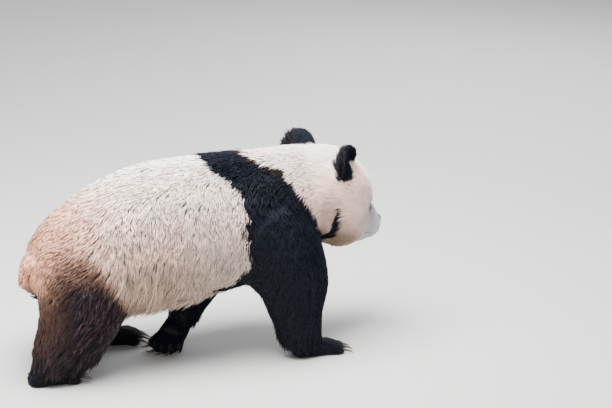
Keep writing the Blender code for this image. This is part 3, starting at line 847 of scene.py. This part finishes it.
# The height of each tuft as a share of the coat's depth, and its length and width. A furrow is
# the gap between two strings, painted browner and darker as shade.
UNDER_SHARE, GUARD_SHARE = 0.30, 0.13  # how many tufts are underwool, and how many guard hair
GUARD_STAND = 0.0130  # how far the guard hair stands out
lock_height = (0.78 + 0.24 * draw.random(len(seeds)))[lock]
lock_chance = draw.random(len(seeds))[lock]
own_chance = draw.random(len(root))
parting = 0.28 + 0.14 * stringy + 0.18 * low_flank  # how far the coat sinks between two locks
height_share = blend(0.95, lock_height * (1 - parting * lock_edge**2), shag)
furrow = in_trunk * ease(0.45 - upward, 0, 0.5) * ease(0.62 - z, 0, 0.20)
furrow *= ease(0.08 - x, 0, 0.25) * ease(x, -0.64, -0.46) * lock_edge**2
# Painted shade: brownish in the furrows between strings.
gap_shade = (0.50 + 0.45 * low_flank) * furrow * blend(0.4, 1.0, ease(-x, 0.10, 0.30))
height_share -= 0.20 * draw.random(len(root)) ** 2
height_share *= 1 - 0.45 * swell(np.minimum(cheek_crease(cover) - 0.004, 0), 0.007)
length = coat_depth * lay * (0.80 + 0.35 * draw.random(len(root))) + 0.0035
length *= 1 + 0.45 * low_flank
under = draw.random(len(root)) < UNDER_SHARE
height_share = np.where(under, 0.62 + 0.10 * own_chance, height_share)
width *= 1 + 1.0 * under
guard = (~under & (draw.random(len(root)) < GUARD_SHARE)) * np.clip(shag + 0.25, 0, 1)
length *= 1 + 0.18 * guard
width *= 1 - 0.35 * guard

# Tips land on the outline, or stand off it: guard hair, the fringe on the back of the ears, the
# shaggy ankles over the feet, and the locks that hang from the belly and low on the sides.
outline_tree = outline.tree()
reach = cover + root_lie * length[:, None]
found = [outline_tree.find_nearest(p)[:2] for p in reach.tolist()]
landing, landing_out = np.array(found).swapaxes(0, 1)
stand = GUARD_STAND * guard * (0.3 + 0.7 * own_chance) - coat_depth * (1 - height_share)
back_of_ear = on_ears * ease(-(root_out @ out_of_nose), 0.0, 0.6)
back_of_ear *= 1 - ease(in_head(cover)[:, 2], 0.160, 0.205)
stand += back_of_ear * (0.004 + 0.014 * own_chance)
ankle = on_legs * ease(0.15 - z, 0, 0.05)
stand += ankle * (0.003 + 0.009 * lock_chance)
tip = landing + landing_out * stand[:, None]
tip[:, 2] -= ankle * (0.008 + 0.024 * own_chance)
hanging = ease(-upward, -0.35, 0.35) * in_trunk * (1 - ease(on_legs, 0, 0.12))
hanging *= ease(0.02 - x, 0, 0.06)
tip[:, 2] -= hanging * (0.005 + 0.042 * lock_chance**2)

# The tips of a lock run together. Each tuft bends over at its elbow, and waves with its lock.
ELBOW_UP, ELBOW_ALONG = 0.72, 0.26  # shares of the coat's depth and of the tuft's length
to_seed = tip[seeds][lock] - tip
seed_run = (to_seed * root_lie).sum(1)[:, None] * root_lie
gather = np.clip(blend(0.22, 0.68, shag) * (0.50 + 0.6 * draw.random(len(root))), 0, 0.90)
gather *= 1 - 0.65 * under
tip += (to_seed - seed_run) * gather[:, None] + seed_run * (0.22 * gather)[:, None]
tip[:, 2] = np.maximum(tip[:, 2], 0.001)
elbow = root + (cover - root) * ELBOW_UP + root_lie * (length * ELBOW_ALONG)[:, None]
elbow[:, 2] = np.maximum(elbow[:, 2], 0.0025)

sway_by = (0.0042 + 0.0025 * low_flank) * shag * (0.5 + lock_chance)
wave_length = blend(0.034, 0.060, draw.random(len(seeds)))[lock]
wave_start = (draw.random(len(seeds)) * 2 * pi)[lock] + 0.6 * own_chance
# Tone is partly random and partly painted shade, darker at the edges of locks and in the furrows.
tone = 0.55 + 0.30 * (lock_chance - 0.5) + 0.5 * (own_chance - 0.5) - 0.30 * shag * lock_edge**2
tone += 0.22 * (1 - shag) * ripple(cover, 0.014, 11) - 0.30 * furrow
# The underwool that shows between locks is painted darker and browner as shade.
deep = under * shag**2 * (1 - 0.7 * ease(-x, 0.46, 0.64))  # underwool that shows between locks
gap_shade = np.maximum(gap_shade, 0.70 * deep * stringy)
ochre = MARKS.index("ochre")
tuft_marks[:, ochre] = np.maximum(tuft_marks[:, ochre], gap_shade)
tone = np.clip(tone - 0.30 * deep, 0, 1)
bared = 1 - 0.80 * deep  # the share of a tuft's length that shows its full colour

LONG_TUFT, TUFT, SHORT_TUFT = (0.0, 0.27, 0.52, 0.77), (0.0, 0.38, 0.72), (0.0, 0.52)
ROOT_SUNK = 0.0015  # how far a tuft's root is let into the skin
FLATNESS = 0.62  # a tuft's thickness by its width


def bow(start, bend, end, s):
    """The place at a share s of the way along a bow, and the heading there."""
    here = (1 - s) ** 2 * start + 2 * s * (1 - s) * bend + s * s * end
    return here, unit((1 - s) * (bend - start) + s * (end - bend))


def spikes(chosen, shares):
    """Closed three-sided spikes with a ring at each share of the length: points, and where."""
    start, end, out = root[chosen], tip[chosen], root_out[chosen]
    swing = unit(np.cross(unit(end - start), out))
    levels, along = [], []
    for s in shares:
        centre, heading = bow(start, elbow[chosen], end, s)
        across = unit(np.cross(heading, out))
        thick = np.cross(across, heading)
        run = past_seed[chosen] + s * length[chosen]
        angle = 2 * pi * run / wave_length[chosen] + wave_start[chosen]
        sway = sway_by[chosen] * sqrt(s) * np.sin(angle)
        centre = centre + swing * sway[:, None] - out * (ROOT_SUNK if s == 0 else 0.0)
        half = width[chosen] / 2 * (0.75 + 0.9 * s if s < 0.4 else 1.50 * (1 - s) ** 0.5)
        for k in range(3):
            corner = pi / 2 + k * 2 * pi / 3
            offset = across * cos(corner) + thick * FLATNESS * sin(corner)
            levels.append(centre + offset * half[:, None])
            along.append(s)
    return np.stack(levels + [end], axis=1), np.array(along + [1.0])


PATCH = 0.003  # side of the patch that a tuft takes on the unwrap


def unrolled(points, axis):
    """An unwrap of a limb's skin: round it, and along it."""
    centre = (points.min(0) + points.max(0)) / 2
    first = unit(np.cross(axis, (0.30, 0.95, 0.05)))
    second = np.cross(axis, first)
    away = points - centre
    flat = np.stack([np.arctan2(away @ second, away @ first), away @ axis], axis=1)
    low, high = flat.min(0), flat.max(0)
    return 0.005 + 0.99 * (flat - low) / (high - low)


def ring_faces(rings, sides):
    """The faces between rings of points."""
    faces = []
    for low in range(0, (rings - 1) * sides, sides):
        for k in range(sides):
            j = (k + 1) % sides
            faces.append((low + k, low + j, low + sides + j, low + sides + k))
    return faces


def tuft_pattern(rings):
    """The faces of one spike, and each corner's place on its patch: round it, and its ring."""
    faces, last = ring_faces(rings, 3), 3 * (rings - 1)
    spans = [(face[0] % 3, face[0] // 3 * 3) for face in faces]
    places = [((k, low), (k + 1, low), (k + 1, low + 3), (k, low + 3)) for k, low in spans]
    for k in range(3):
        faces.append((last + k, last + (k + 1) % 3, last + 3))
        places.append(((k, last), (k + 1, last), (k + 0.5, last + 3)))
    return faces + [(2, 1, 0)], places + [((2, 0), (1.5, 0), (1, 0))]


def coat_piece(name, chosen, shares, axis):
    """One piece of the coat from the chosen roots, with its unwrap for baking."""
    points, along = spikes(chosen, shares)
    number, per_tuft = points.shape[:2]
    faces, places = tuft_pattern(len(shares))
    sizes = np.tile([len(face) for face in faces], number)
    pattern = np.array([corner for face in faces for corner in face])
    patch = np.array([(k / 3, along[i]) for face in places for k, i in face])
    loops = (pattern[None, :] + (np.arange(number) * per_tuft)[:, None]).ravel()
    mesh = bpy.data.meshes.new(name)
    mesh.vertices.add(number * per_tuft)
    mesh.vertices.foreach_set("co", points.reshape(-1).astype(np.float32))
    mesh.loops.add(len(loops))
    mesh.loops.foreach_set("vertex_index", loops.astype(np.int32))
    mesh.polygons.add(len(sizes))
    mesh.polygons.foreach_set("loop_start", np.cumsum(sizes) - sizes)
    mesh.update(calc_edges=True)
    mesh.shade_smooth()
    home = unrolled(root[chosen], axis)
    spots = home[:, None, :] + (patch[None, :, :] - 0.5) * PATCH
    unwrap = mesh.uv_layers.new(name="OFBake")
    unwrap.data.foreach_set("uv", spots.reshape(-1).astype(np.float32))
    lay_mark(mesh, "along", np.repeat(bared[chosen], per_tuft) * np.tile(along, number))
    lay_mark(mesh, "tone", np.repeat(tone[chosen], per_tuft))
    for i, mark in enumerate(MARKS):
        lay_mark(mesh, mark, np.repeat(tuft_marks[chosen, i], per_tuft))
    mesh.materials.append(hair_finish.material)
    made = linked(name, mesh)
    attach(made, "root")


hair_finish = Finish(
    "hair", Roughness=0.62, Specular_IOR_Level=0.10, Sheen_Weight=0.03, Sheen_Roughness=0.4
)
along, tuft_tone = hair_finish.mark("along"), hair_finish.mark("tone")
colour = hair_colour(hair_finish, along, tuft_tone)
hair_finish.feed("Base Color", hair_finish.darkened(colour, 0.78 + 0.34 * tuft_tone))
hair_finish.bump(hair_finish.grain(900, 2), 0.0004, 0.5)

FORWARD, UP = np.array((1.0, 0.0, 0.0)), np.array((0.0, 0.0, 1.0))
of_part = {name: root_parts.argmax(1) == i for i, name in enumerate(FLESH)}
stretch_of_trunk = np.digitize(x, np.quantile(x[of_part["trunk"]], (1 / 3, 2 / 3)))
left_of_face = in_head(cover)[:, 1] > 0
for side_name, here in (("left", y > 0), ("right", y <= 0)):
    for stretch, stretch_name in enumerate(("rump", "flank", "shoulder")):
        chosen = of_part["trunk"] & here & (stretch_of_trunk == stretch)
        coat_piece(f"coat_{stretch_name}_{side_name}", chosen, LONG_TUFT, FORWARD)
for side_name, here in (("left", left_of_face), ("right", ~left_of_face)):
    chosen = of_part["head"] & here
    coat_piece(f"coat_head_{side_name}", chosen, SHORT_TUFT, out_of_nose)
for name, shares, axis, slot in (
    ("neck", TUFT, FORWARD, "cream_coat"),
    ("tail", LONG_TUFT, UP, "cream_coat"),
    *((name, TUFT, UP, "black_coat") for name in LEGS),
    *((name, SHORT_TUFT, FORWARD, "black_coat") for name in PAWS),
    *((name, SHORT_TUFT, up_from_head, "black_coat") for name in EARS),
):
    coat_piece(f"coat_{name}", of_part[name], shares, axis)

# --- The eyes ---
# Glass eyes, as a museum sets them: a dark ball with a raised glossy front, a brown iris and an
# upright pupil. Each sits in its socket behind a dark moist rim on both lids.

CORNEA_RISE, CORNEA_SPREAD = 0.0011, radians(34)
IRIS_SPREAD = radians(31)
PUPIL_TALL, PUPIL_WIDE = 0.30, 0.19  # half of each, by the ball's radius
EYE_RINGS, EYE_SIDES = 44, 48
RIM_RADIUS, RIM_STEPS = 0.0009, 72


def revolved(place, rings, sides, ends=True):
    """Rings of points as one surface, with closed ends. place gives a point of a ring."""
    points = [place(ring, 2 * pi * k / sides) for ring in range(rings) for k in range(sides)]
    faces, last = ring_faces(rings, sides), (rings - 1) * sides
    if ends:
        faces += [tuple(range(sides))[::-1], tuple(range(last, last + sides))]
    return np.array(points), faces


eye_finish = Finish(
    "glass eye", Roughness=0.3, Specular_IOR_Level=0.05, Coat_Weight=0.30, Coat_Roughness=0.02
)
iris = eye_finish.grain(1400, 4).tint((0.0040, 0.0020, 0.0012, 1), (0.014, 0.006, 0.003, 1))
eye_colour = eye_finish.mark("iris").tint((0.010, 0.007, 0.006, 1), iris)
eye_colour = eye_finish.mark("pupil").tint(eye_colour, (0.0006, 0.0006, 0.0006, 1))
eye_finish.feed("Base Color", eye_colour)
rim_finish = Finish("moist lid rim", Roughness=0.40, Specular_IOR_Level=0.12, Coat_Weight=0.05)
rim_finish.speckle((0.004, 0.003, 0.003, 1), (0.011, 0.008, 0.008, 1), 600)

for eye, name in zip(EYES, EYE_NAMES):

    def on_ball(ring, turn):
        spread = pi * (ring + 0.02) / (EYE_RINGS - 0.96)
        swell = CORNEA_RISE * max(0.0, 1 - (spread / CORNEA_SPREAD) ** 2)
        round_it = eye.out * cos(turn) + eye.rise * sin(turn)
        ray = eye.sight * cos(spread) + round_it * sin(spread)
        return eye.middle + ray * (EYE_RADIUS + swell)

    points, faces = revolved(on_ball, EYE_RINGS, EYE_SIDES)
    ball = to_object(name + "_glass", points, faces, eye_finish)
    away = unit(points - eye.middle)
    spread = np.arccos(np.clip(away @ eye.sight, -1, 1))
    lay_mark(ball.data, "iris", ease(IRIS_SPREAD - spread, 0, 0.05))
    tall, wide = away @ eye.rise / PUPIL_TALL, away @ eye.out / PUPIL_WIDE
    lay_mark(ball.data, "pupil", ease(1 - np.hypot(tall, wide), -0.05, 0.12) * (spread < 1))
    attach(ball, "root")
    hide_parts(name)

    def on_rim(step, turn):
        round_slit = 2 * pi * step / RIM_STEPS
        along = LID_LENGTH * cos(round_slit)
        high = LID_HEIGHT * sin(round_slit) * (1 - LID_POINT * abs(cos(round_slit)))
        ray = unit(eye.sight * EYE_RADIUS * 0.8 + eye.out * along * 1.02 + eye.rise * high * 1.02)
        side = unit(eye.out * along / LID_LENGTH + eye.rise * high / LID_HEIGHT)
        ring = ray * cos(turn) + side * sin(turn)
        return eye.middle + ray * (EYE_RADIUS + 0.0004) + ring * RIM_RADIUS

    points, faces = revolved(on_rim, RIM_STEPS + 1, 8, ends=False)
    rim = to_object(name + "_lid_rim", points, faces, rim_finish)
    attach(rim, "root")

# --- The nose ---
# Bare black leather, cast and painted: broad above and narrow below, with two comma-shaped
# nostrils, a cleft down the middle and a fine pebbled grain.

NOSTRIL_SPOTS = (  # each one's place across and up, its size and its depth
    (0.0115, 0.0010, 0.0056, 0.0090),
    (0.0180, -0.0005, 0.0036, 0.0060),
    (0.0240, -0.0030, 0.0026, 0.0036),
)
CLEFT_WIDTH, CLEFT_DEPTH = 0.0012, 0.0016

nose_form = bmesh.new()
bmesh.ops.create_icosphere(nose_form, subdivisions=6, radius=1)
sphere, corners = as_arrays(as_mesh(nose_form, "nose"))
x, y, z = (sphere * NOSE_HALF).T
y = y * (1 - 0.42 * ease(-z, 0.002, 0.021)) * (1 + 0.06 * ease(z, 0.004, 0.016))
x = x * (1 - 0.10 * ease(z, 0.006, 0.02)) + 0.0016 * swell(np.abs(y) - 0.014, 0.007)
front = ease(sphere[:, 0], 0.05, 0.45)
dent = np.zeros(len(x))
for over, high, size, deep in NOSTRIL_SPOTS:
    gap = np.hypot(np.abs(y) - over, (z - high) * 1.15)
    dent = np.maximum(dent, deep * np.exp(-((gap / size) ** 4)))
dent += CLEFT_DEPTH * swell(y, CLEFT_WIDTH) * ease(-z, -0.004, 0.006)
x = x - dent * front
nose_points = middle("nose") + np.stack([x, y, z], axis=1) @ HEAD_AXES
nose_finish = Finish(
    "nose leather", Roughness=0.45, Specular_IOR_Level=0.14, Coat_Weight=0.05, Coat_Roughness=0.3
)
pebbles = nose_finish.node("ShaderNodeTexVoronoi", {}, {"Scale": 620.0})
nose_tone = nose_finish.grain(160, 3).tint((0.004, 0.0035, 0.004, 1), (0.014, 0.011, 0.012, 1))
inside = nose_finish.mark("nostril")
nose_finish.feed("Base Color", inside.tint(nose_tone, (0.002, 0.002, 0.002, 1)))
nose_finish.bump(pebbles, 0.0005, 0.7)
nose = to_object("nose_leather", nose_points, corners, nose_finish)
lay_mark(nose.data, "nostril", ease(dent * front, 0.0020, 0.0055))
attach(nose, "root")
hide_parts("nose")

# --- The lips ---
# A narrow dark moist edge along the closed mouth and up the cleft under the nose, level with the
# short hair beside it.

LIP_RADIUS, LIP_RISE = 0.0017, 0.0016


def lip_strip(route, radius):
    """A closed strip along a route of points, thinner towards both ends."""
    last = len(route) - 1

    def on_lip(step, turn):
        ahead = unit(route[min(step + 1, last)] - route[max(step - 1, 0)])
        out = unit(route[step] - from_head((MOUTH_HINGE, 0, MOUTH_HEIGHT + 0.012)))
        high = np.cross(ahead, out)
        thin = radius * (0.30 + 0.70 * sin(pi * (step + 1) / (last + 2)) ** 0.5)
        return route[step] + out * LIP_RISE + (out * cos(turn) + high * sin(turn)) * thin

    return revolved(on_lip, last + 1, 8)


points, faces = gathered([lip_strip(lips, LIP_RADIUS), lip_strip(cleft, LIP_RADIUS * 0.6)])
lip_piece = to_object("lips", points, faces, rim_finish)
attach(lip_piece, "root")

# --- The whiskers and lashes ---
# Stiff single hairs, set one by one into the muzzle's sides, over the eyes and along the lids.

HAIR_RINGS, HAIR_SIDES = 5, 5
WHISKER_RADIUS, LASH_RADIUS, LASH_LENGTH = 0.00035, 0.00022, 0.0055


def single_hair(start, heading, droop, long, thick):
    """A closed tapering hair that bends as it goes."""

    def on_hair(ring, turn):
        s = ring / (HAIR_RINGS - 1)
        here = start + heading * long * s + droop * long * s * s
        side = unit(np.cross(heading, (0.2, 0.1, 1.0)))
        up = np.cross(side, heading)
        return here + (side * cos(turn) + up * sin(turn)) * thick * (1.02 - s)

    return revolved(on_hair, HAIR_RINGS, HAIR_SIDES)


def hairs_piece(name, hairs, finish):
    """Single hairs gathered into one piece."""
    points, faces = gathered(hairs)
    made = to_object(name, points, faces, finish)
    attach(made, "root")


whisker_finish = Finish("whisker", Roughness=0.4)
whisker_finish.speckle((0.55, 0.50, 0.46, 1), (0.30, 0.25, 0.22, 1), 30)
whiskers = []
for side in (-1, 1):
    for row in range(3):
        for place in range(4):
            turn = side * radians(42 + 15 * place + 5 * row)
            away = np.array((cos(turn), sin(turn), 0.0))
            low = -0.060 - 0.010 * row
            start = on_hide(np.array((MOUTH_HINGE, 0, low)) + away * OUTSIDE, -away)
            heading = unit(HEAD_AXES.T @ (away + (0.10, 0, -0.20)))
            long = 0.020 + 0.012 * draw.random()
            droop = np.array((0, 0, -0.22))
            whiskers.append(single_hair(start, heading, droop, long, WHISKER_RADIUS))
hairs_piece("whiskers", whiskers, whisker_finish)

lash_finish = Finish("lash", Roughness=0.45)
lash_finish.speckle((0.006, 0.005, 0.006, 1), (0.02, 0.014, 0.012, 1), 30)
lashes = []
for eye in EYES:
    for step in np.linspace(0.14, 0.86, 15):
        round_slit = pi * step
        along = LID_LENGTH * cos(round_slit)
        high = LID_HEIGHT * sin(round_slit)
        ray = unit(eye.sight * EYE_RADIUS * 0.8 + eye.out * along * 1.1 + eye.rise * high * 1.15)
        start = eye.middle + ray * (EYE_RADIUS + 0.0006)
        heading = unit(ray + eye.rise * 0.25)
        lashes.append(single_hair(start, heading, eye.rise * 0.3, LASH_LENGTH, LASH_RADIUS))
hairs_piece("lashes", lashes, lash_finish)

# --- The claws ---
# Five curved claws of pale horn on each paw, browner and ridged at the root and worn to a blunt
# point. Each is let into its toe.

CLAW_RADIUS, CLAW_RINGS, CLAW_SIDES = 0.0058, 15, 14
CLAW_TIP, CLAW_FLATNESS = 0.0004, 0.72  # radius at the tip; width by height
claw_finish = Finish("claw horn", Roughness=0.38, Coat_Weight=0.15)
root_to_tip = claw_finish.mark("along")
streaks = claw_finish.grain(180, 4, (1, 1, 4))
horn = root_to_tip.between(0.05, 0.55).tint((0.040, 0.029, 0.022, 1), (0.135, 0.105, 0.078, 1))
horn = (streaks * (1.3 - root_to_tip)).between(0.45, 0.85).tint(horn, (0.055, 0.040, 0.030, 1))
claw_finish.feed("Base Color", horn)
claw_finish.bump(streaks, 0.0005, 0.6)

for paw in PAWS:
    for number in range(1, 6):
        name = f"claw_{paw}_{number}"
        packed = as_arrays(welded(name))[0]
        line = unit(middle(name) - middle(paw))
        far = packed[(packed @ line).argmax()]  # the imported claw's tip, then its root and bend
        start = packed[((packed - far) ** 2).sum(1).argmax()]
        run = (packed - start) @ unit(far - start) / np.linalg.norm(far - start)
        base = packed[run < 0.12].mean(0)
        bend = packed[(run > 0.35) & (run < 0.65)].mean(0)
        pull = 2 * bend - (base + far) / 2

        def on_claw(ring, turn):
            s = ring / (CLAW_RINGS - 1) * 0.985
            here, ahead = bow(base, pull, far, s)
            side = unit(np.cross(ahead, pull - (base + far) / 2 + (0, 0, 1e-4)))
            back = np.cross(side, ahead)
            thick = CLAW_RADIUS * (1 - s) ** 0.62 + CLAW_TIP
            return here + (side * cos(turn) * CLAW_FLATNESS + back * sin(turn)) * thick

        points, faces = revolved(on_claw, CLAW_RINGS, CLAW_SIDES)
        claw = to_object(f"horn_{name}", points, faces, claw_finish)
        lay_mark(claw.data, "along", np.repeat(np.linspace(0, 1, CLAW_RINGS), CLAW_SIDES))
        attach(claw, "root")
        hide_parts(name)

# --- The floor, the light and the view ---
# A plain pale floor, three large soft lamps and an even pale sky.

FLOOR_HALF = 40.0
floor_finish = Finish("studio floor", Roughness=0.85)
floor_finish.speckle((0.50, 0.50, 0.49, 1), (0.54, 0.54, 0.53, 1), 0.8)
floor_points = FLOOR_HALF * np.array(((-1, -1, 0), (1, -1, 0), (1, 1, 0), (-1, 1, 0)))
floor = to_object("floor", floor_points, [(0, 1, 2, 3)], floor_finish)

LIT = Vector((0, 0, 0.4))  # where the lamps point


def lamp(name, place, size, power, colour):
    data = bpy.data.lights.new(name, "AREA")
    data.size, data.energy, data.color = size, power, colour
    made = linked(name, data)
    made.location = place
    made.rotation_euler = (LIT - Vector(place)).to_track_quat("-Z", "Y").to_euler()


lamp("overhead lamp", (-0.4, -0.3, 3.4), 2.6, 620, (1.0, 0.99, 0.97))
lamp("near lamp", (-2.2, -3.6, 2.2), 2.2, 35, (1.0, 0.98, 0.95))
lamp("far lamp", (2.6, 3.4, 2.4), 2.4, 120, (0.95, 0.97, 1.0))

world = bpy.data.worlds.new("studio")
world.use_nodes = True
world.node_tree.nodes["Background"].inputs[0].default_value = (0.93, 0.95, 1.0, 1)
world.node_tree.nodes["Background"].inputs[1].default_value = 0.70
bpy.context.scene.world = world

AIM = Vector((0.374, 0.0, 0.51))
VIEW_AZIMUTH, VIEW_RISE, VIEW_DISTANCE = radians(-18), radians(18), 12.0
camera = linked("camera", bpy.data.cameras.new("camera"))
camera.data.lens, camera.data.sensor_width, camera.data.clip_end = 197.6, 36.0, 100
level_x, level_y = sin(VIEW_AZIMUTH), -cos(VIEW_AZIMUTH)
flat = cos(VIEW_RISE)
towards_camera = Vector((level_x * flat, level_y * flat, sin(VIEW_RISE)))
camera.location = AIM + towards_camera * VIEW_DISTANCE
camera.rotation_euler = towards_camera.to_track_quat("Z", "Y").to_euler()
bpy.context.scene.camera = camera
